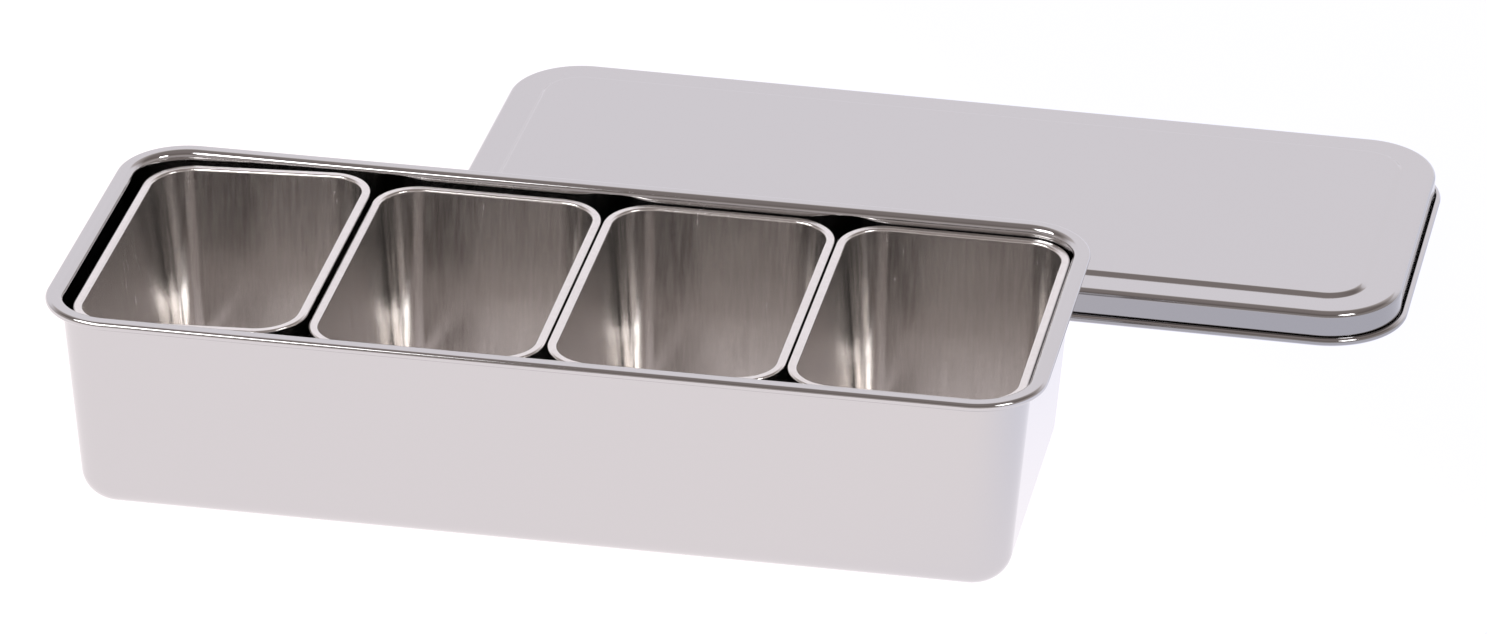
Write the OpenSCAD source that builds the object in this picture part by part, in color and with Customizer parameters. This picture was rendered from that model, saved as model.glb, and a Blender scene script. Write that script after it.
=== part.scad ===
// Stainless steel condiment box: one pressed outer box, four lift-out cups and a loose lid.
// The box stands at the origin, and the lid lies on the table behind it.

/* [Box] */
// Length over the rim
box_l = 300; // [240:1:400]
// Width over the rim
box_w = 125; // [100:1:180]
// Height from the table to the rim
box_h = 67; // [50:1:120]
// Thickness of the sheet
box_sheet = 0.7; // [0.5:0.1:1.2]
// Corner radius of the rim, seen from above
box_corner_r = 21.5; // [21:0.5:36]
// How far the rim stands out beyond the wall
box_rim = 4.6; // [3.5:0.1:7]
// Lean of the walls from upright, in degrees
box_draft = 4.6; // [2:0.1:6]
// Outer radius between the wall and the floor
box_floor_r = 9.5; // [3:0.5:10]
// Radius of the bend from the wall to the rim
box_bend_r = 1.3; // [1:0.1:2]
// Outer radius of the rolled edge
box_curl_r = 0.95; // [0.9:0.05:1.4]

/* [Cups] */
// Thickness of the sheet
cup_sheet = 0.6; // [0.4:0.1:0.8]
// Corner radius of the rim, seen from above
cup_corner_r = 14.5; // [13.5:0.5:20]
// How far the rim stands out beyond the wall
cup_rim = 2.2; // [1.8:0.1:3]
// Lean of the walls from upright, in degrees
cup_draft = 4; // [3:0.1:6]
// Outer radius between the wall and the floor
cup_floor_r = 6.5; // [3:0.5:7]
// Radius of the bend from the wall to the rim
cup_bend_r = 1.1; // [0.8:0.1:1.2]
// Outer radius of the rolled edge
cup_curl_r = 0.8; // [0.7:0.05:0.9]
// Lean of the first cup, whose right side sits high against its neighbour, in degrees
first_cup_lean = 2.5; // [0:0.1:3]

/* [Lid] */
// Thickness of the sheet
lid_sheet = 0.6; // [0.4:0.1:1]
// Height from the table to the top plate
lid_h = 10.8; // [8:0.1:20]
// Outer radius of the edge between the top plate and the skirt
lid_edge_r = 2; // [1.5:0.1:3]
// Outer radius of the rolled bead under the skirt
lid_bead_r = 1.3; // [1.1:0.05:1.6]
// How much the middle panel is raised
panel_h = 1; // [0.6:0.1:2]
// Distance from the skirt to the foot of the raised panel
panel_inset = 11; // [6:0.5:14]
// Steepness of the panel's edge, in degrees
panel_slope = 35; // [25:1:50]
// Outer radius of the panel's two bends
panel_bend_r = 1.6; // [1.2:0.1:2.5]

/* [Fits] */
// Drop from the box rim to the cup rims
cup_drop = 3; // [2:0.1:10]
// Gap between neighbouring cup rims
cup_gap = 0.6; // [0.4:0.1:2]
// Gap between the last cup rim and the right wall
right_gap = 0.6; // [0.4:0.05:3]
// Gap between the first cup rim and the left wall
left_gap = 2.8; // [0.4:0.1:6]
// Gap between the cup rims and the long walls
side_gap = 1.7; // [1.6:0.1:6]
// How far each cup stands towards the back from the middle, left to right
cup_shift = [-1.2, -1.2, 0.2, 0.4]; // [-1.2:0.1:1.2]
// Gap under the edge that the leaning cup stands on
lean_seat_gap = 0.1; // [0.05:0.05:0.3]
// Gap between the box rim and the lid's skirt
lid_gap = 1.9; // [0.8:0.1:3]

/* [Lid beside the box] */
// Distance between the back of the box and the lid
lid_behind = 66.5; // [5:0.5:200]
// Distance from the middle of the box to the middle of the lid, to the right
lid_right = 82; // [-150:1:150]
// Turn of the lid on the table, in degrees
lid_turn = -0.9; // [-3:0.1:3]

/* [Hidden] */
$fn = 72;
steel = [0.80, 0.80, 0.82];
dark_steel = [0.62, 0.60, 0.59];

// Worked-out places are kept to a hundredth of a millimetre, so that neighbouring faces meet exactly
function hundredths(size) = round(100 * size) / 100;

cup_count = 4;
cup_h = box_h - cup_drop - box_sheet;
rim_to_inside = hundredths(box_rim + box_sheet + cup_drop * tan(box_draft));
inside_l = box_l - 2 * rim_to_inside;
inside_w = box_w - 2 * rim_to_inside;
cup_l = hundredths((inside_l - left_gap - right_gap - (cup_count - 1) * cup_gap) / cup_count);
cup_w = inside_w - 2 * side_gap;
cup_pitch = cup_l + cup_gap;
last_cup_x = inside_l / 2 - right_gap - cup_l / 2;

// Where the centre line of a pan's floor bend lies, outwards from its corner centre
function floor_bend_x(corner_r, rim, h, draft, floor_r) =
    corner_r - rim - (h - floor_r) * tan(draft) - floor_r / cos(draft);

cup_bend_x = floor_bend_x(cup_corner_r, cup_rim, cup_h, cup_draft, cup_floor_r);
cup_foot_x = hundredths(cup_l / 2 - cup_corner_r + cup_bend_x);

// The leaning cup turns about its left floor bend, which draws its rim to the left
lean_shift = hundredths((cup_h - cup_floor_r - cup_curl_r) * sin(first_cup_lean)
    + (cup_l / 2 + cup_foot_x) * (1 - cos(first_cup_lean)));

lid_skirt_l = box_l + 2 * (lid_gap + 2 * lid_bead_r);
lid_skirt_w = box_w + 2 * (lid_gap + 2 * lid_bead_r);
lid_corner_r = box_corner_r + lid_gap + 2 * lid_bead_r;
lid_y = box_w / 2 + lid_behind + lid_skirt_w / 2;

// A wedge of the plane between two angles, larger than a circle of radius r
module wedge(r, from, to) {
    steps = ceil((to - from) / 45);
    reach = 2 * r;
    rays = [for (i = [0:steps]) from + (to - from) * i / steps];
    polygon(concat([[0, 0]], [for (a = rays) [reach * cos(a), reach * sin(a)]]));
}

// A bend in the sheet: a stretch of a ring, from one angle to another
module bend(r, sheet, from, to) {
    intersection() {
        difference() {
            circle(r);
            circle(r - sheet);
        }
        wedge(r, from, to);
    }
}

// A straight stretch of sheet, whose outer face runs from a to b with the sheet on its left
module flat_run(a, b, sheet) {
    run = norm(b - a);
    side = [a[1] - b[1], b[0] - a[0]] / run * sheet;
    polygon([a, b, b + side, a + side]);
}

// The section of a drawn pan, outwards from its corner centre: floor, wall, rim and rolled edge
module pan_section(corner_r, rim, h, draft, floor_r, bend_r, curl_r, sheet) {
    foot_x = floor_bend_x(corner_r, rim, h, draft, floor_r);
    outside = [cos(draft), -sin(draft)];
    wall_foot = [foot_x, floor_r] + floor_r * outside;
    under_bend_r = bend_r - sheet;
    // the bend's centre lies outside the wall, and its top is level with the rim
    bend_z = h - bend_r;
    bend_x = corner_r - rim - bend_r * tan(draft) + under_bend_r / cos(draft);
    wall_top = [bend_x, bend_z] - under_bend_r * outside;
    flat_run([0, 0], [foot_x, 0], sheet);
    translate([foot_x, floor_r]) bend(floor_r, sheet, -90, -draft);
    flat_run(wall_foot, wall_top, sheet);
    translate([bend_x, bend_z]) bend(bend_r, sheet, 90, 180 - draft);
    flat_run([bend_x, h - sheet], [corner_r - curl_r, h - sheet], sheet);
    translate([corner_r - curl_r, h - curl_r]) bend(curl_r, sheet, -165, 90);
}

// Carries a section once round a rectangle with rounded corners
module round_rectangle(l, w, r) {
    for (turn = [0, 180]) rotate([0, 0, turn]) {
        translate([r - l / 2, w / 2 - r, 0])
            rotate([90, 0, 90]) linear_extrude(l - 2 * r) children();
        translate([l / 2 - r, w / 2 - r, 0])
            rotate([90, 0, 0]) linear_extrude(w - 2 * r) children();
        translate([l / 2 - r, w / 2 - r, 0]) rotate_extrude(angle = 90) children();
        translate([r - l / 2, w / 2 - r, 0])
            rotate([0, 0, 90]) rotate_extrude(angle = 90) children();
    }
}

// The flat middle of a floor or a top, between the corner centres
module middle(l, w, r, z, sheet) {
    translate([r - l / 2, r - w / 2, z]) cube([l - 2 * r, w - 2 * r, sheet]);
}

module outer_box() {
    color(steel) {
        round_rectangle(box_l, box_w, box_corner_r)
            pan_section(box_corner_r, box_rim, box_h, box_draft, box_floor_r,
                box_bend_r, box_curl_r, box_sheet);
        middle(box_l, box_w, box_corner_r, 0, box_sheet);
    }
}

// One cup, standing on its floor at the origin
module cup() {
    color(dark_steel) {
        round_rectangle(cup_l, cup_w, cup_corner_r)
            pan_section(cup_corner_r, cup_rim, cup_h, cup_draft, cup_floor_r,
                cup_bend_r, cup_curl_r, cup_sheet);
        middle(cup_l, cup_w, cup_corner_r, 0, cup_sheet);
    }
}

// A cup in its place, counted from the left
module seated_cup(place) {
    translate([last_cup_x - (cup_count - place) * cup_pitch, cup_shift[place - 1], box_sheet]) cup();
}

// The first cup rests on its left foot, with its right rim against the next cup's rim
module leaning_cup() {
    first_x = last_cup_x - (cup_count - 1) * cup_pitch + lean_shift;
    translate([first_x, cup_shift[0], box_sheet + lean_seat_gap])
        translate([-cup_foot_x, 0, cup_floor_r]) rotate([0, -first_cup_lean, 0])
            translate([cup_foot_x, 0, -cup_floor_r]) cup();
}

module cup_1() leaning_cup();
module cup_2() seated_cup(2);
module cup_3() seated_cup(3);
module cup_4() seated_cup(4);

// The section of the lid: raised panel, top plate, skirt and the bead rolled outwards under it
module lid_section() {
    skirt_x = lid_corner_r - 2 * lid_bead_r + lid_sheet;
    foot_x = skirt_x - panel_inset;
    bend_mid_r = panel_bend_r - lid_sheet / 2;
    slope_rise = panel_h - 2 * bend_mid_r * (1 - cos(panel_slope));
    slope_run = slope_rise / tan(panel_slope);
    // centres of the concave bend at the slope's foot and the convex bend at its head
    low = [foot_x, lid_h - lid_sheet + panel_bend_r];
    head = [foot_x - 2 * bend_mid_r * sin(panel_slope) - slope_run, lid_h + panel_h - panel_bend_r];
    down = [sin(panel_slope), cos(panel_slope)];
    flat_run([0, lid_h + panel_h - lid_sheet], [head[0], lid_h + panel_h - lid_sheet], lid_sheet);
    translate(head) bend(panel_bend_r, lid_sheet, 90 - panel_slope, 90);
    flat_run(low - panel_bend_r * down, head + (panel_bend_r - lid_sheet) * down, -lid_sheet);
    translate(low) bend(panel_bend_r, lid_sheet, -90 - panel_slope, -90);
    flat_run([foot_x, lid_h - lid_sheet], [skirt_x - lid_edge_r, lid_h - lid_sheet], lid_sheet);
    translate([skirt_x - lid_edge_r, lid_h - lid_edge_r]) bend(lid_edge_r, lid_sheet, 0, 90);
    flat_run([skirt_x, lid_bead_r], [skirt_x, lid_h - lid_edge_r], lid_sheet);
    translate([lid_corner_r - lid_bead_r, lid_bead_r]) bend(lid_bead_r, lid_sheet, -180, 130);
}

module lid() {
    color(steel) translate([lid_right, lid_y, 0]) rotate([0, 0, lid_turn]) {
        round_rectangle(lid_skirt_l, lid_skirt_w, lid_corner_r) lid_section();
        middle(lid_skirt_l, lid_skirt_w, lid_corner_r, lid_h + panel_h - lid_sheet, lid_sheet);
    }
}

outer_box();
cup_1();
cup_2();
cup_3();
cup_4();
lid();
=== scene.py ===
"""Stainless steel seasoning box: a pressed box, its four lift-out cups and its loose lid."""

import math

import bpy
import numpy as np
from mathutils import Matrix, Vector


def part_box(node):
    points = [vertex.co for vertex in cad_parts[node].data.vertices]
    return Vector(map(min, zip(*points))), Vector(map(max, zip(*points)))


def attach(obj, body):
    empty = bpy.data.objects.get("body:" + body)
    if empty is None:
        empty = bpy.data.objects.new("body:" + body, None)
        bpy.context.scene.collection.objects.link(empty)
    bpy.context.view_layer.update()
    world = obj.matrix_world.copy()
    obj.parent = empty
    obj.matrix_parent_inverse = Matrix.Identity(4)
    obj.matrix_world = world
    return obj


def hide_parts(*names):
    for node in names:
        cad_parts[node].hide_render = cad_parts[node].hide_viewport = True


bl_info = {
    "name": "Stainless Seasoning Box",
    "version": (1, 0, 0),
    "blender": (4, 5, 0),
    "location": "View3D > Sidebar > Seasoning Box",
    "description": "Builds a pressed steel box with four lift-out cups and a loose lid",
    "category": "Add Mesh",
}

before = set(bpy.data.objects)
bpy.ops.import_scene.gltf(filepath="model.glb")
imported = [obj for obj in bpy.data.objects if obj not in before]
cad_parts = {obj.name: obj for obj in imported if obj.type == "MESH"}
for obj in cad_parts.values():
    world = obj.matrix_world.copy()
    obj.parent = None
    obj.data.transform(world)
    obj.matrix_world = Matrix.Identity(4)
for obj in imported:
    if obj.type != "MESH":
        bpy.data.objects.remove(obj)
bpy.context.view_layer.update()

MM = 0.001
PHOTO_WIDTH = 1487
PHOTO_HEIGHT = 634
SENSOR_WIDTH = 36.0
CUPS = ("cup_1", "cup_2", "cup_3", "cup_4")

CORNER_STEPS = 24
BEND_STEPS = 12
MERGE_DISTANCE = 0.01 * MM

# the steel's grain: marks to the metre, how short they are upright, and their depth
GRAIN_SCALE = 700.0
GRAIN_SQUEEZE = 0.05
GRAIN_HEIGHT = 0.02 * MM
CLOUD_SCALE = 40.0
CLOUD_SHARE = 0.15
NOISE_LOW, NOISE_HIGH = 0.3, 0.7
# how far a normal points up or down where the upright colour, a painted shade on the lid's upright
# sides, begins and ends
PAINTED_SHADE_WHOLE_NORMAL, PAINTED_SHADE_GONE_NORMAL = 0.35, 0.7

FLOOR_REACH = 4.0
FLOOR_FADE_ALONG = (0.8, 0.6, 0.0)
FLOOR_FADE_LENGTH = 0.26
FLOOR_GLOW_FRONT = (1.17, 1.1, 1.12, 1.0)
FLOOR_GLOW_RIGHT = (0.98, 0.98, 1.1, 1.0)

# degrees above the horizon, and the light that comes from there
WALL_LIGHT = (
    (0, (0.98, 0.94, 0.98)), (30, (1.02, 0.98, 1.03)), (35, (0.67, 0.61, 0.6)),
    (46, (0.51, 0.46, 0.45)), (56, (0.36, 0.33, 0.31)), (80, (0.33, 0.3, 0.29)),
)
ROOM_LIGHT = (
    (0, (0.55, 0.5, 0.49)), (16, (0.5, 0.45, 0.44)), (30, (0.33, 0.29, 0.27)),
    (40, (0.2, 0.17, 0.16)), (80, (0.3, 0.26, 0.25)),
)
# how squarely a direction faces the wall, where it begins and where it is whole
WALL_BEGINS, WALL_WHOLE = 0.25, 0.7
# name, degrees round from the front, degrees up, width and height in metres, radiance
SOFT_BOXES = (
    ("left_soft_box", -50.0, 50.0, 0.6, 0.4, 6.0),
    ("right_soft_box", 62.0, 39.0, 0.3, 0.25, 7.0),
)
SOFT_BOX_DISTANCE = 1.0


def node_size(node):
    """Length, width and height of a node of the frame, in metres."""
    low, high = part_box(node)
    return Vector(high) - Vector(low)


def from_hex(text):
    """Turns an sRGB hex colour into the linear colour that shaders take."""
    parts = [int(text[i:i + 2], 16) / 255 for i in (1, 3, 5)]
    linear = [c / 12.92 if c <= 0.04045 else ((c + 0.055) / 1.055) ** 2.4 for c in parts]
    return (*linear, 1.0)


def size(text, about, default):
    """A length that a user can change, with its default in metres."""
    return bpy.props.FloatProperty(
        name=text, description=about, default=default, min=0.0, unit="LENGTH", precision=5)


def angle(text, about, degrees):
    """An angle that a user can change, with its default in degrees."""
    return bpy.props.FloatProperty(
        name=text, description=about, default=math.radians(degrees), subtype="ANGLE")


def tint(text, about, hex_colour):
    """A colour that a user can change, with its default as sRGB hex."""
    return bpy.props.FloatVectorProperty(
        name=text, description=about, subtype="COLOR", size=4, min=0.0, max=1.0,
        default=from_hex(hex_colour))


class BoxSizes(bpy.types.PropertyGroup):
    """Sizes of the outer box that its overall size doesn't give."""

    sheet: size("Sheet", "Thickness of the steel sheet", 0.7 * MM)
    corner_radius: size("Corner radius", "Corner radius of the rim, seen from above", 21.5 * MM)
    rim: size("Rim", "How far the rim stands out beyond the wall", 4.6 * MM)
    draft: angle("Draft", "Lean of the walls from upright", 4.6)
    floor_radius: size("Floor radius", "Outer radius between the wall and the floor", 9.5 * MM)
    bend_radius: size("Bend radius", "Radius of the bend from the wall to the rim", 2.0 * MM)
    curl_radius: size("Curl radius", "Outer radius of the rolled edge", 1.25 * MM)


class CupSizes(bpy.types.PropertyGroup):
    """Sizes of a cup that its overall size doesn't give."""

    sheet: size("Sheet", "Thickness of the steel sheet", 0.6 * MM)
    corner_radius: size("Corner radius", "Corner radius of the rim, seen from above", 14.5 * MM)
    rim: size("Rim", "How far the rim stands out beyond the wall", 2.2 * MM)
    draft: angle("Draft", "Lean of the walls from upright", 4.0)
    floor_radius: size("Floor radius", "Outer radius between the wall and the floor", 6.5 * MM)
    bend_radius: size("Bend radius", "Radius of the bend from the wall to the rim", 0.8 * MM)
    curl_radius: size("Curl radius", "Outer radius of the rolled edge", 0.65 * MM)
    lean: angle("Lean of the first cup", "How far the first cup's right side is tipped up", 2.5)


class LidSizes(bpy.types.PropertyGroup):
    """Sizes of the lid that its overall size doesn't give."""

    sheet: size("Sheet", "Thickness of the steel sheet", 0.6 * MM)
    length: size("Length", "Length over the rolled bead", 309.0 * MM)
    width: size("Width", "Width over the rolled bead", 134.0 * MM)
    corner_radius: size("Corner radius", "Corner radius over the bead, seen from above", 26.0 * MM)
    plate_height: size("Plate height", "Height from the table to the flat border", 10.8 * MM)
    edge_radius: size("Edge radius", "Outer radius between the border and the skirt", 2.0 * MM)
    bead_radius: size("Bead radius", "Outer radius of the rolled bead", 1.3 * MM)
    panel_rise: size("Panel rise", "How much the middle panel is raised", 1.0 * MM)
    panel_inset: size("Panel inset", "Distance from the skirt to the raised panel", 11.0 * MM)
    panel_slope: angle("Panel slope", "Steepness of the panel's edge", 35.0)
    panel_bend_radius: size("Panel bend", "Outer radius of the panel's bends", 1.6 * MM)
    turn: angle("Turn", "Turn of the lid on the table", -0.9)


class FinishColours(bpy.types.PropertyGroup):
    """Colours of the steel and of the table."""

    satin: tint("Satin steel", "Reflected colour of the satin steel", "#C8C7C8")
    # painted shade: the darker colour given to the lid's upright sides
    upright: tint("Upright satin", "Reflected colour of the lid's upright sides", "#A4A3A4")
    polished: tint("Polished steel", "Reflected colour of the polished steel", "#E7E4E2")
    floor: tint("Table", "Colour of the unlit table", "#141414")


class StudioView(bpy.types.PropertyGroup):
    """Where the camera stands and how it is framed."""

    azimuth: angle("Azimuth", "Turn of the view round the upright axis", 10.26)
    elevation: angle("Elevation", "Height of the view above the horizon", 26.68)
    roll: angle("Roll", "Turn of the picture round the view axis", 0.62)
    distance: size("Distance", "From the camera to the box, along the view", 2464.8 * MM)
    aside: bpy.props.FloatVectorProperty(
        name="Aside", description="How far the box lies right of and above the view axis",
        size=2, default=(-52.74 * MM, -45.98 * MM), unit="LENGTH")
    focal_pixels: bpy.props.FloatProperty(
        name="Focal length", description="Focal length in pixels of the photograph", default=8177.4)
    centre: bpy.props.FloatVectorProperty(
        name="Picture centre", description="Pixel of the photograph on the view axis",
        size=2, default=(746.4, 317.4))


SETTINGS = {
    "seasoning_box": BoxSizes,
    "seasoning_cup": CupSizes,
    "seasoning_lid": LidSizes,
    "seasoning_finish": FinishColours,
    "seasoning_view": StudioView,
}


def add(tree, kind, inputs=None, **settings):
    """Adds a node with its settings. An input takes a value, or a socket to be linked from."""
    node = tree.nodes.new(kind)
    for name, value in settings.items():
        setattr(node, name, value)
    for key, value in (inputs or {}).items():
        if isinstance(value, bpy.types.NodeSocket):
            tree.links.new(value, node.inputs[key])
        else:
            node.inputs[key].default_value = value
    return node


def new_material(name):
    """An empty material, with its node tree and its output."""
    material = bpy.data.materials.new(name)
    material.use_nodes = True
    tree = material.node_tree
    tree.nodes.clear()
    return material, tree, add(tree, "ShaderNodeOutputMaterial")


def pressing_tree():
    """Carries a section round a rectangle with rounded corners and closes its middle."""
    tree = bpy.data.node_groups.new("Pressed sheet", "GeometryNodeTree")
    sockets = tree.interface
    for name, kind in (
        ("Length", "NodeSocketFloat"), ("Width", "NodeSocketFloat"),
        ("Corner Radius", "NodeSocketFloat"), ("Middle Height", "NodeSocketFloat"),
        ("Corner Steps", "NodeSocketInt"), ("Bend Steps", "NodeSocketInt"),
        ("Section", "NodeSocketObject"), ("Metal", "NodeSocketMaterial"),
    ):
        sockets.new_socket(name=name, in_out="INPUT", socket_type=kind)
    sockets.new_socket(name="Geometry", in_out="OUTPUT", socket_type="NodeSocketGeometry")
    given = add(tree, "NodeGroupInput").outputs

    outline = add(tree, "GeometryNodeCurvePrimitiveQuadrilateral", {
        "Width": given["Length"], "Height": given["Width"]}).outputs["Curve"]
    path = add(tree, "GeometryNodeFilletCurve", {
        "Curve": outline, "Count": given["Corner Steps"], "Radius": given["Corner Radius"],
    }, mode="POLY").outputs["Curve"]
    upright = add(tree, "GeometryNodeSetCurveNormal", {"Curve": path}, mode="Z_UP").outputs["Curve"]
    both_corners = add(tree, "ShaderNodeMath", {
        0: given["Corner Radius"], 1: 2.0}, operation="MULTIPLY")
    middle_sizes = [
        add(tree, "ShaderNodeMath", {0: given[side], 1: both_corners.outputs[0]},
            operation="SUBTRACT").outputs[0]
        for side in ("Length", "Width")
    ]
    place = add(tree, "GeometryNodeInputPosition").outputs["Position"]
    whole_middle = add(tree, "ShaderNodeCombineXYZ", {"X": middle_sizes[0], "Y": middle_sizes[1]})
    high, low = (
        add(tree, "ShaderNodeVectorMath", {0: whole_middle.outputs[0], "Scale": half},
            operation="SCALE")
        for half in (0.5, -0.5)
    )
    up_to = add(tree, "ShaderNodeVectorMath", {0: place, 1: high.outputs[0]}, operation="MINIMUM")
    centre = add(tree, "ShaderNodeVectorMath", {
        0: up_to.outputs[0], 1: low.outputs[0]}, operation="MAXIMUM")
    away = add(tree, "ShaderNodeVectorMath", {0: place, 1: centre.outputs[0]}, operation="SUBTRACT")
    outwards = add(tree, "ShaderNodeVectorMath", {
        0: away.outputs[0]}, operation="NORMALIZE").outputs[0]
    marked = upright
    for name, value in (("rim_place", place), ("rim_outwards", outwards)):
        marked = add(tree, "GeometryNodeStoreNamedAttribute", {
            "Geometry": marked, "Name": name, "Value": value,
        }, data_type="FLOAT_VECTOR", domain="POINT").outputs["Geometry"]

    drawn = add(tree, "GeometryNodeObjectInfo", {"Object": given["Section"]}).outputs["Geometry"]
    bend_radius = add(tree, "GeometryNodeInputRadius").outputs["Radius"]
    section = add(tree, "GeometryNodeFilletCurve", {
        "Curve": drawn, "Count": given["Bend Steps"], "Radius": bend_radius,
    }, mode="POLY").outputs["Curve"]
    section = add(tree, "GeometryNodeStoreNamedAttribute", {
        "Geometry": section, "Name": "section_place", "Value": place,
    }, data_type="FLOAT_VECTOR", domain="POINT").outputs["Geometry"]
    swept = add(tree, "GeometryNodeCurveToMesh", {
        "Curve": marked, "Profile Curve": section}).outputs["Mesh"]
    # square to the outline everywhere, so that the corner strips meet at the corner centres
    rim_place, rim_outwards, section_place = (
        add(tree, "GeometryNodeInputNamedAttribute", {"Name": name},
            data_type="FLOAT_VECTOR").outputs["Attribute"]
        for name in ("rim_place", "rim_outwards", "section_place"))
    run = add(tree, "ShaderNodeSeparateXYZ", {"Vector": section_place}).outputs
    sideways = add(tree, "ShaderNodeVectorMath", {
        0: rim_outwards, "Scale": run["X"]}, operation="SCALE").outputs[0]
    rise = add(tree, "ShaderNodeMath", {0: run["Y"], 1: -1.0}, operation="MULTIPLY").outputs[0]
    upwards = add(tree, "ShaderNodeCombineXYZ", {"Z": rise}).outputs[0]
    level = add(tree, "ShaderNodeVectorMath", {
        0: rim_place, 1: sideways}, operation="ADD").outputs[0]
    exact = add(tree, "ShaderNodeVectorMath", {0: level, 1: upwards}, operation="ADD").outputs[0]
    sides = add(tree, "GeometryNodeSetPosition", {"Geometry": swept, "Position": exact})

    grid = add(tree, "GeometryNodeMeshGrid", {
        "Size X": middle_sizes[0], "Size Y": middle_sizes[1], "Vertices X": 2, "Vertices Y": 2})
    lift = add(tree, "ShaderNodeCombineXYZ", {"Z": given["Middle Height"]})
    middle = add(tree, "GeometryNodeTransform", {
        "Geometry": grid.outputs["Mesh"], "Translation": lift.outputs["Vector"]})

    joined = add(tree, "GeometryNodeJoinGeometry", {"Geometry": middle.outputs["Geometry"]})
    tree.links.new(sides.outputs["Geometry"], joined.inputs["Geometry"])
    merged = add(tree, "GeometryNodeMergeByDistance", {
        "Geometry": joined.outputs["Geometry"], "Distance": MERGE_DISTANCE})
    smooth = add(tree, "GeometryNodeSetShadeSmooth", {"Geometry": merged.outputs["Geometry"]})
    bare = smooth.outputs["Geometry"]
    for name in ("rim_place", "rim_outwards", "section_place"):
        bare = add(tree, "GeometryNodeRemoveAttribute", {
            "Geometry": bare, "Name": name}).outputs["Geometry"]
    whole = add(tree, "GeometryNodeRealizeInstances", {"Geometry": bare})
    finished = add(tree, "GeometryNodeSetMaterial", {
        "Geometry": whole.outputs["Geometry"], "Material": given["Metal"]})
    add(tree, "NodeGroupOutput", {"Geometry": finished.outputs["Geometry"]})
    return tree


def section_curve(corners):
    """A curve through a section's corners, each (outwards, up, bend radius) in metres."""
    data = bpy.data.curves.new("section", "CURVE")
    data.dimensions = "3D"
    spline = data.splines.new("POLY")
    spline.points.add(len(corners) - 1)
    for point, (outwards, up, radius) in zip(spline.points, corners):
        point.co = (outwards, -up, 0.0, 1.0)
        point.radius = radius
    return bpy.data.objects.new("section", data)


def press(name, corners, plan, sheet, side, metal):
    """Presses a piece out of sheet: a section carried round a plan.

    The plan holds the length, width and corner radius.

    The section's face keeps its place, and the sheet grows to the side named by 1 or -1.
    """
    section = section_curve(corners)
    bpy.context.scene.collection.objects.link(section)
    blank = bpy.data.objects.new("blank", bpy.data.meshes.new("blank"))
    bpy.context.scene.collection.objects.link(blank)
    tree = bpy.data.node_groups.get("Pressed sheet") or pressing_tree()
    pressing = blank.modifiers.new("Pressing", "NODES")
    pressing.node_group = tree
    ids = {
        item.name: item.identifier
        for item in tree.interface.items_tree if item.in_out == "INPUT"
    }
    length, width, corner_radius = plan
    for key, value in {
        "Length": length, "Width": width, "Corner Radius": corner_radius,
        "Middle Height": corners[0][1], "Corner Steps": CORNER_STEPS, "Bend Steps": BEND_STEPS,
        "Section": section, "Metal": metal,
    }.items():
        pressing[ids[key]] = value
    thickness = blank.modifiers.new("Sheet", "SOLIDIFY")
    thickness.thickness = sheet
    thickness.offset = side
    thickness.use_even_offset = True
    shading = blank.modifiers.new("Even shading", "WEIGHTED_NORMAL")
    shading.weight = 100
    ready = blank.evaluated_get(bpy.context.evaluated_depsgraph_get())
    mesh = bpy.data.meshes.new_from_object(ready)
    mesh.name = name
    for spare in (blank, section):
        bpy.data.objects.remove(spare)
    piece = bpy.data.objects.new(name, mesh)
    bpy.context.scene.collection.objects.link(piece)
    return piece


def pan_corners(sizes, height):
    """The inner face of a drawn pan: floor, wall, flat rim and rolled edge."""
    lean = math.tan(sizes.draft)
    wall = sizes.rim + sizes.sheet / math.cos(sizes.draft)
    curl = sizes.curl_radius
    return [
        (-sizes.corner_radius, sizes.sheet, 0.0),
        (-wall - (height - sizes.sheet) * lean, sizes.sheet, sizes.floor_radius - sizes.sheet),
        (-wall, height, sizes.bend_radius),
        (0.0, height, curl),
        (0.0, height - 2 * curl, curl),
        (-1.5 * curl, height - 2 * curl, 0.0),
    ]


def lid_corners(sizes):
    """The under face of the lid: raised panel, border, skirt and the bead rolled outwards."""
    bead = sizes.bead_radius
    skirt = 2 * bead
    under = sizes.plate_height - sizes.sheet
    foot = skirt - sizes.sheet + sizes.panel_inset
    run = sizes.panel_rise / math.tan(sizes.panel_slope)
    return [
        (-sizes.corner_radius, under + sizes.panel_rise, 0.0),
        (-foot - run, under + sizes.panel_rise, sizes.panel_bend_radius - sizes.sheet),
        (-foot, under, sizes.panel_bend_radius),
        (-skirt, under, sizes.edge_radius - sizes.sheet),
        (-skirt, 0.0, bead),
        (0.0, 0.0, bead),
        (0.0, skirt, bead),
        (-1.1 * bead, skirt, 0.0),
    ]


def put(piece, turn, fixed, node):
    """Turns a piece's mesh, then moves it so that it fills its node's box.

    fixed says for X, Y and Z whether the low side, the middle or the high side is matched.
    """
    piece.data.transform(turn)
    points = np.array([v.co for v in piece.data.vertices])
    low, high = (Vector(corner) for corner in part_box(node))
    move = []
    for axis, share_up in enumerate(fixed):
        here = points[:, axis].min() * (1 - share_up) + points[:, axis].max() * share_up
        there = low[axis] * (1 - share_up) + high[axis] * share_up
        move.append(there - here)
    piece.data.transform(Matrix.Translation(move))
    piece.data.update()


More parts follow.
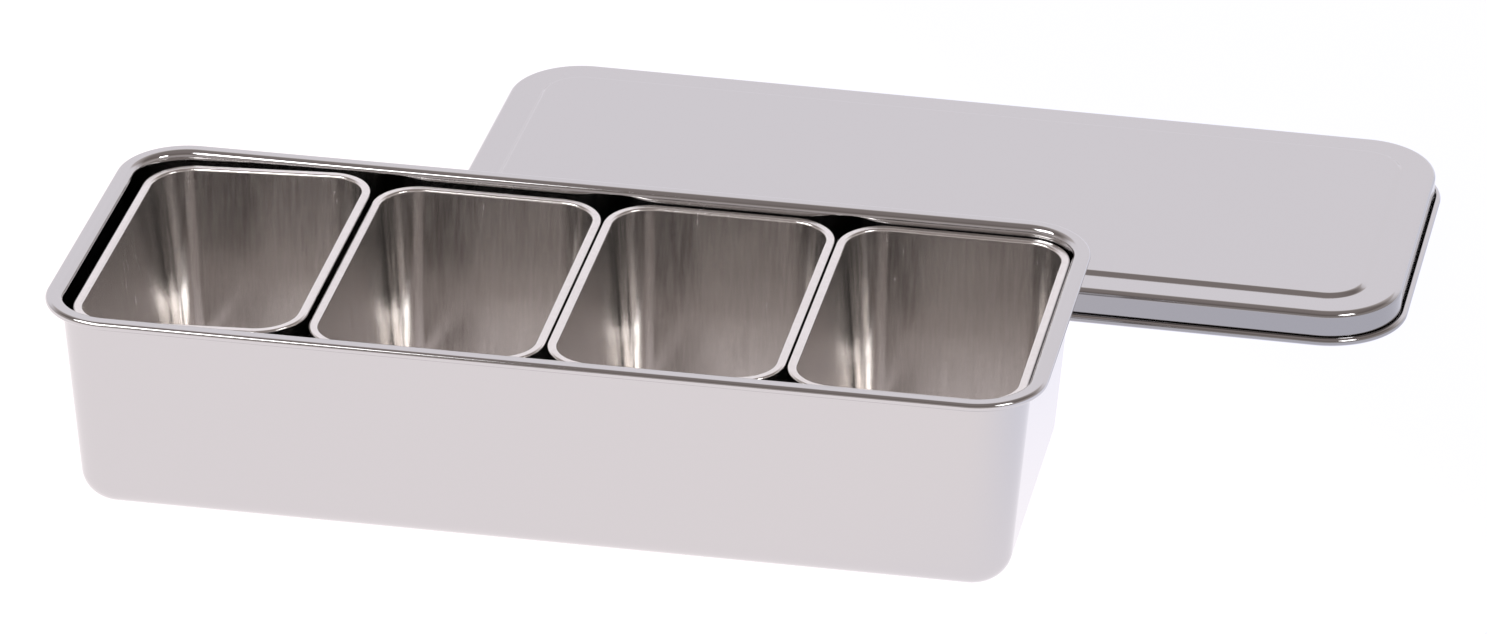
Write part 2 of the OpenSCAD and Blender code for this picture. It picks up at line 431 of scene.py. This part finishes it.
def steel(name, colour, roughness, streaks, depth, upright=None):
    """Stainless steel: a smooth drawn sheet whose grain and slight waves soften what it mirrors.

    upright is the colour of the sides that stand up, where it isn't the colour of the rest: a
    painted shade, fitted to the photograph, where the lid's skirt is darker than its top.
    """
    material, tree, output = new_material(name)
    place = add(tree, "ShaderNodeTexCoord").outputs["Object"]
    drawn = add(tree, "ShaderNodeMapping", {"Vector": place, "Scale": (1.0, 1.0, GRAIN_SQUEEZE)})
    marks = add(tree, "ShaderNodeTexNoise", {
        "Vector": drawn.outputs["Vector"], "Scale": GRAIN_SCALE, "Detail": 4.0, "Roughness": 0.6})
    clouds = add(tree, "ShaderNodeTexNoise", {"Vector": place, "Scale": CLOUD_SCALE, "Detail": 2.0})
    polish = add(tree, "ShaderNodeMapRange", {
        "Value": marks.outputs["Fac"], "From Min": NOISE_LOW, "From Max": NOISE_HIGH,
        "To Min": roughness * (1 - streaks), "To Max": roughness * (1 + streaks)})
    cloudy = add(tree, "ShaderNodeMapRange", {
        "Value": clouds.outputs["Fac"], "From Min": NOISE_LOW, "From Max": NOISE_HIGH,
        "To Min": -CLOUD_SHARE * roughness, "To Max": CLOUD_SHARE * roughness})
    total = add(tree, "ShaderNodeMath", {
        0: polish.outputs[0], 1: cloudy.outputs[0]}, operation="ADD")
    waves = add(tree, "ShaderNodeBump", {
        "Height": marks.outputs["Fac"], "Strength": depth, "Distance": GRAIN_HEIGHT})
    # painted shade: the sides that stand up take the darker upright colour
    if upright:
        facing = add(tree, "ShaderNodeSeparateXYZ", {
            "Vector": add(tree, "ShaderNodeNewGeometry").outputs["Normal"]}).outputs["Z"]
        level = add(tree, "ShaderNodeMapRange", {
            "Value": add(tree, "ShaderNodeMath", {0: facing}, operation="ABSOLUTE").outputs[0],
            "From Min": PAINTED_SHADE_WHOLE_NORMAL, "From Max": PAINTED_SHADE_GONE_NORMAL}).outputs[0]
        colour = add(tree, "ShaderNodeMix", {"Factor": level, "A": upright, "B": colour},
                     data_type="RGBA").outputs["Result"]
    shader = add(tree, "ShaderNodeBsdfPrincipled", {
        "Base Color": colour, "Metallic": 1.0, "Roughness": total.outputs[0],
        "Normal": waves.outputs["Normal"]})
    tree.links.new(shader.outputs["BSDF"], output.inputs["Surface"])
    return material


def steel_for(name):
    """One of the object's steels, made once.

    Each has its colour, its roughness, the streaks in it and the depth of the grain. The names
    differ from the record's slots, because the frame brings materials of those names.
    """
    finish = bpy.context.scene.seasoning_finish
    recipe = {
        "box_sheet": (finish.satin, 0.07, 0.25, 0.12),
        # the lid's upright sides take a painted shade
        "lid_sheet": (finish.satin, 0.07, 0.25, 0.2, finish.upright),
        "cup_sheet": (finish.polished, 0.2, 0.3, 0.25),
    }
    return bpy.data.materials.get(name) or steel(name, *recipe[name])


class SEASONING_OT_outer_box(bpy.types.Operator):
    """Builds the outer box: a pressed pan with a flat rim and a rolled edge"""

    bl_idname = "seasoning.outer_box"
    bl_label = "Outer Box"

    def execute(self, context):
        sizes = context.scene.seasoning_box
        whole = node_size("outer_box")
        plan = (whole.x, whole.y, sizes.corner_radius)
        piece = press("box_pan", pan_corners(sizes, whole.z), plan,
                      sizes.sheet, -1, steel_for("box_sheet"))
        put(piece, Matrix.Identity(4), (0.5, 0.5, 0.0), "outer_box")
        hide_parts("outer_box")
        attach(piece, "outer_box")
        return {"FINISHED"}


class SEASONING_OT_cups(bpy.types.Operator):
    """Builds the four lift-out cups, the first of which leans"""

    bl_idname = "seasoning.cups"
    bl_label = "Cups"

    def execute(self, context):
        sizes = context.scene.seasoning_cup
        whole = node_size("cup_2")
        plan = (whole.x, whole.y, sizes.corner_radius)
        for cup in CUPS:
            piece = press(cup + "_pan", pan_corners(sizes, whole.z), plan,
                          sizes.sheet, -1, steel_for("cup_sheet"))
            leans = cup == CUPS[0]
            turn = Matrix.Rotation(-sizes.lean, 4, "Y") if leans else Matrix.Identity(4)
            put(piece, turn, (1.0 if leans else 0.5, 0.5, 0.0), cup)
            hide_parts(cup)
            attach(piece, cup)
        return {"FINISHED"}


class SEASONING_OT_lid(bpy.types.Operator):
    """Builds the lid, with its raised panel, its skirt and its rolled bead"""

    bl_idname = "seasoning.lid"
    bl_label = "Lid"

    def execute(self, context):
        sizes = context.scene.seasoning_lid
        plan = (sizes.length, sizes.width, sizes.corner_radius)
        piece = press("lid_cover", lid_corners(sizes), plan,
                      sizes.sheet, 1, steel_for("lid_sheet"))
        put(piece, Matrix.Rotation(sizes.turn, 4, "Z"), (0.5, 0.5, 0.0), "lid")
        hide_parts("lid")
        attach(piece, "lid")
        return {"FINISHED"}


class SEASONING_OT_studio(bpy.types.Operator):
    """Builds the floor, the studio light and the camera"""

    bl_idname = "seasoning.studio"
    bl_label = "Studio"

    def execute(self, context):
        scene = context.scene
        make_floor(scene)
        make_light(scene)
        make_camera(scene)
        scene.view_settings.view_transform = "Standard"
        return {"FINISHED"}


def direction(turn, lift):
    """The direction turned round from the front and lifted above the horizon, in radians."""
    level = math.cos(lift)
    return Vector((math.sin(turn) * level, -math.cos(turn) * level, math.sin(lift)))


def make_floor(scene):
    """A lit white table, brightest in front and bluer to the right, wider than the picture."""
    reach = FLOOR_REACH
    mesh = bpy.data.meshes.new("studio_floor")
    corners = [(-reach, -reach, 0), (reach, -reach, 0), (reach, reach, 0), (-reach, reach, 0)]
    mesh.from_pydata(corners, [], [(0, 1, 2, 3)])
    material, tree, output = new_material("lit_table")
    place = add(tree, "ShaderNodeTexCoord").outputs["Object"]
    along = add(tree, "ShaderNodeVectorMath", {
        0: place, 1: FLOOR_FADE_ALONG}, operation="DOT_PRODUCT")
    fade = add(tree, "ShaderNodeMapRange", {
        "Value": along.outputs["Value"], "From Min": 0.0, "From Max": FLOOR_FADE_LENGTH,
    }, interpolation_type="SMOOTHSTEP")
    glow = add(tree, "ShaderNodeMix", {
        "Factor": fade.outputs[0], "A": FLOOR_GLOW_FRONT, "B": FLOOR_GLOW_RIGHT},
        data_type="RGBA")
    shader = add(tree, "ShaderNodeBsdfPrincipled", {
        "Base Color": scene.seasoning_finish.floor, "Roughness": 0.9, "Specular IOR Level": 0.2,
        "Emission Color": glow.outputs["Result"], "Emission Strength": 1.0})
    tree.links.new(shader.outputs["BSDF"], output.inputs["Surface"])
    mesh.materials.append(material)
    floor = bpy.data.objects.new("studio_floor", mesh)
    scene.collection.objects.link(floor)


def make_light(scene):
    """A dim studio with one pale wall behind, and two soft boxes in front."""
    view = scene.seasoning_view
    world = bpy.data.worlds.new("studio")
    scene.world = world
    world.use_nodes = True
    tree = world.node_tree
    tree.nodes.clear()
    towards = add(tree, "ShaderNodeTexCoord").outputs["Generated"]
    height = add(tree, "ShaderNodeSeparateXYZ", {"Vector": towards}).outputs["Z"]
    wall = light_by_height(tree, height, WALL_LIGHT)
    room = light_by_height(tree, height, ROOM_LIGHT)
    behind = (-math.sin(view.azimuth), math.cos(view.azimuth), 0.0)
    facing = add(tree, "ShaderNodeVectorMath", {0: towards, 1: behind}, operation="DOT_PRODUCT")
    nearness = add(tree, "ShaderNodeMapRange", {
        "Value": facing.outputs["Value"], "From Min": WALL_BEGINS, "From Max": WALL_WHOLE})
    light = add(tree, "ShaderNodeMix", {
        "Factor": nearness.outputs[0], "A": room, "B": wall}, data_type="RGBA")
    sky = add(tree, "ShaderNodeBackground", {"Color": light.outputs["Result"], "Strength": 1.0})
    output = add(tree, "ShaderNodeOutputWorld")
    tree.links.new(sky.outputs["Background"], output.inputs["Surface"])
    for name, turn, lift, width, tall, radiance in SOFT_BOXES:
        data = bpy.data.lights.new(name, "AREA")
        data.shape = "RECTANGLE"
        data.size, data.size_y = width, tall
        data.energy = radiance * math.pi * width * tall
        box = bpy.data.objects.new(name, data)
        towards_box = direction(math.radians(turn), math.radians(lift))
        box.location = towards_box * SOFT_BOX_DISTANCE
        box.rotation_euler = towards_box.to_track_quat("Z", "Y").to_euler()
        scene.collection.objects.link(box)


def light_by_height(tree, height, stops):
    """Light that follows the height above the horizon, through stops of degrees and colour."""
    most = max(max(colour) for degrees, colour in stops)
    ramp = add(tree, "ShaderNodeValToRGB", {"Fac": height})
    marks = ramp.color_ramp.elements
    while len(marks) < len(stops):
        marks.new(0.5)
    for mark, (degrees, colour) in zip(marks, stops):
        mark.position = math.sin(math.radians(degrees))
        mark.color = (*(part / most for part in colour), 1.0)
    return add(tree, "ShaderNodeVectorMath", {
        0: ramp.outputs["Color"], "Scale": most}, operation="SCALE").outputs[0]


def make_camera(scene):
    """The camera stands where the photograph was taken from."""
    view = scene.seasoning_view
    turn, height, roll = view.azimuth, view.elevation, view.roll
    back = direction(turn, height)
    right = Vector((math.cos(turn), math.sin(turn), 0.0))
    up = back.cross(right)
    right, up = (
        right * math.cos(roll) + up * math.sin(roll),
        up * math.cos(roll) - right * math.sin(roll),
    )
    data = bpy.data.cameras.new("photo_view")
    data.sensor_width = SENSOR_WIDTH
    data.lens = view.focal_pixels / PHOTO_WIDTH * SENSOR_WIDTH
    data.shift_x = (PHOTO_WIDTH / 2 - view.centre[0]) / PHOTO_WIDTH
    data.shift_y = (view.centre[1] - PHOTO_HEIGHT / 2) / PHOTO_WIDTH
    camera = bpy.data.objects.new("photo_view", data)
    place = -view.aside[0] * right - view.aside[1] * up + view.distance * back
    axes = Matrix((right, up, back)).transposed().to_4x4()
    camera.matrix_world = Matrix.Translation(place) @ axes
    scene.collection.objects.link(camera)
    scene.camera = camera


class SEASONING_PT_panel(bpy.types.Panel):
    """Lists the steps that build the seasoning box"""

    bl_label = "Seasoning Box"
    bl_idname = "SEASONING_PT_panel"
    bl_space_type = "VIEW_3D"
    bl_region_type = "UI"
    bl_category = "Seasoning Box"

    def draw(self, context):
        for step in STEPS:
            self.layout.operator(step.bl_idname)
        for name in SETTINGS:
            group = getattr(context.scene, name)
            box = self.layout.box()
            for key in group.__annotations__:
                box.prop(group, key)


STEPS = (SEASONING_OT_studio, SEASONING_OT_outer_box, SEASONING_OT_cups, SEASONING_OT_lid)
CLASSES = (*SETTINGS.values(), *STEPS, SEASONING_PT_panel)


def register():
    """Adds the classes, and their settings on the scene."""
    for item in CLASSES:
        bpy.utils.register_class(item)
    for name, group in SETTINGS.items():
        setattr(bpy.types.Scene, name, bpy.props.PointerProperty(type=group))


def unregister():
    """Takes the settings and the classes away again."""
    for name in SETTINGS:
        delattr(bpy.types.Scene, name)
    for item in reversed(CLASSES):
        bpy.utils.unregister_class(item)


def main():
    """Builds every piece and the studio."""
    register()
    for step in STEPS:
        group, name = step.bl_idname.split(".")
        getattr(getattr(bpy.ops, group), name)()


if __name__ == "__main__":
    main()
